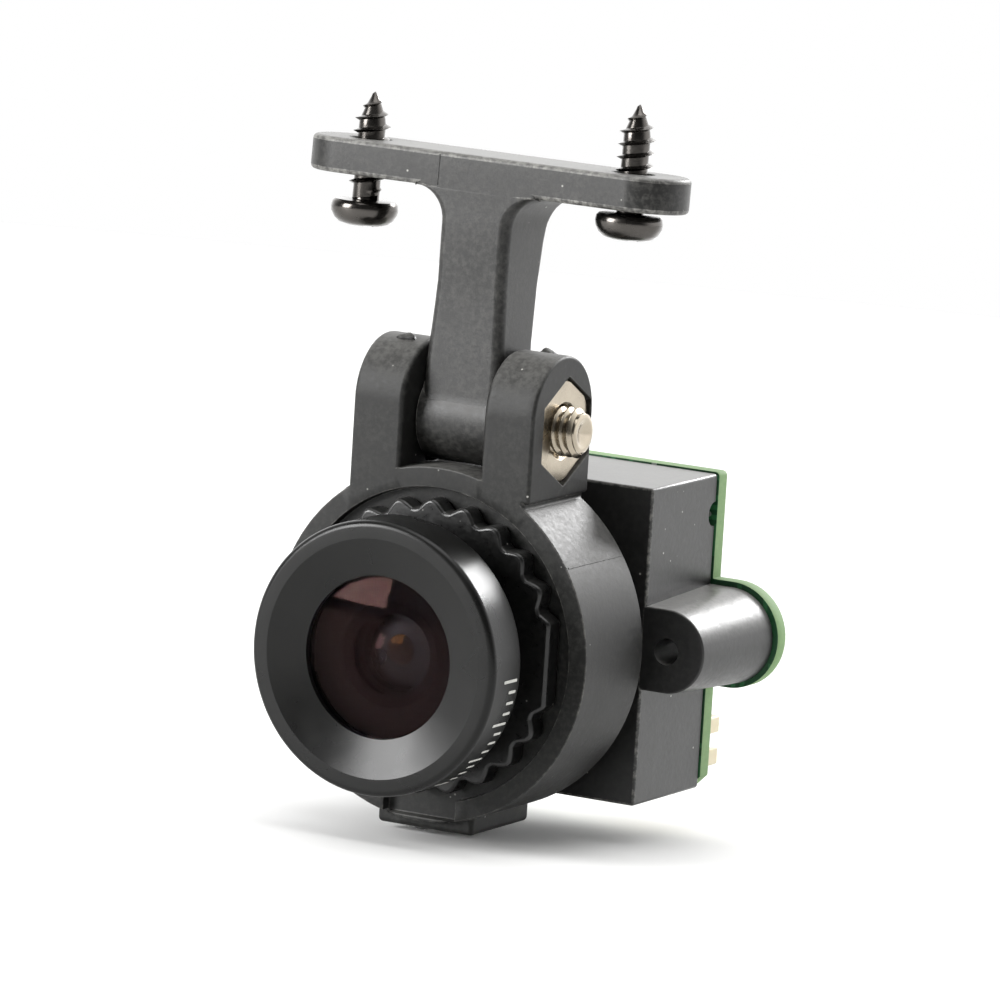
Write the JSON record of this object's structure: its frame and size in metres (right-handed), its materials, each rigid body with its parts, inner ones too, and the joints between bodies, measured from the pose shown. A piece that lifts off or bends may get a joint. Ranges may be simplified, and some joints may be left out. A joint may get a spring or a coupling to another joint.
{
  "type": "tilting camera mount",
  "caption": "T-shaped bar bracket with a clamp-ring yoke that tilts a small board camera and its screw-focus lens on one pivot bolt.",
  "frame": {"origin": "centre of the mounting bar's flat top face, midway between its two screws", "axes": "+Z out of the bar's mounting face, +X along the bar towards the pivot nut, -Y the way the lens looks (4 degrees nose down in the stored pose)"},
  "size_m": [0.0284, 0.0291, 0.0438],
  "materials": {
    "black_plastic": "moulded glass-filled nylon, satin black with a faint grain",
    "anodised_aluminium": "turned aluminium, black anodised, satin",
    "black_nickel": "steel, black nickel plated, glossy",
    "nickel_plate": "steel, nickel plated, warm grey",
    "coated_glass": "polished optical glass with a purple coating",
    "filter_glass": "thin coated filter glass",
    "black_baffle": "matt black baffle",
    "circuit_board": "glass-epoxy board with green solder mask",
    "sensor_ceramic": "dark ceramic chip carrier",
    "chip_epoxy": "black moulding epoxy",
    "chip_parts": "ceramic chip parts with tinned ends",
    "connector_nylon": "natural cream nylon",
    "tinned_brass": "tinned brass pins"
  },
  "bodies": {
    "bracket": {"mount_bracket": "black_plastic", "left_mount_screw": "black_nickel", "right_mount_screw": "black_nickel"},
    "yoke": {"tilt_yoke": "black_plastic", "pivot_bolt": "nickel_plate", "pivot_nut": "nickel_plate"},
    "camera": {"camera_housing": "black_plastic", "ir_cut_filter": "filter_glass", "sensor_board": "circuit_board", "image_sensor": "sensor_ceramic", "sensor_cover_glass": "filter_glass", "dsp_chip": "chip_epoxy", "voltage_regulator": "chip_epoxy", "crystal_can": "nickel_plate", "board_components": "chip_parts", "board_screws": "nickel_plate", "signal_connector": "connector_nylon", "connector_pins": "tinned_brass"},
    "lock_ring": {"lens_lock_ring": "anodised_aluminium"},
    "lens_glass": {"front_element": "coated_glass", "second_element": "coated_glass", "doublet_element": "coated_glass", "rear_element": "coated_glass"},
    "lens": {"lens_barrel": "anodised_aluminium", "lens_hood": "anodised_aluminium", "front_spacer": "black_baffle", "aperture_stop": "black_baffle", "mid_spacer": "black_baffle", "rear_retaining_ring": "anodised_aluminium"}
  },
  "joints": [
    {"name": "tilt", "type": "hinge", "parent": "bracket", "child": "yoke", "pos_m": [0, 0, -0.0155], "axis": [1, 0, 0], "range_deg": [-88, 70]},
    {"name": "camera_roll", "type": "hinge", "parent": "yoke", "child": "camera", "pos_m": [0, 0.00091, -0.02847], "axis": [0, 0.9976, 0.0698], "range_deg": [-20, 20]},
    {"name": "lock_ring_turn", "type": "hinge", "parent": "camera", "child": "lock_ring", "pos_m": [0, 0.00091, -0.02847], "axis": [0, 0.9976, 0.0698], "range_deg": [-90, 0]},
    {"name": "focus_travel", "type": "slide", "parent": "camera", "child": "lens_glass", "axis": [0, 0.9976, 0.0698], "range_m": [-0.0005, 0.0005]},
    {"name": "focus_turn", "type": "hinge", "parent": "lens_glass", "child": "lens", "pos_m": [0, 0.00091, -0.02847], "axis": [0, 0.9976, 0.0698], "range_deg": [-360, 360]}
  ],
  "couplings": [
    {"joint": "focus_turn", "follows": "focus_travel", "rad_per_m": 12566}
  ]
}
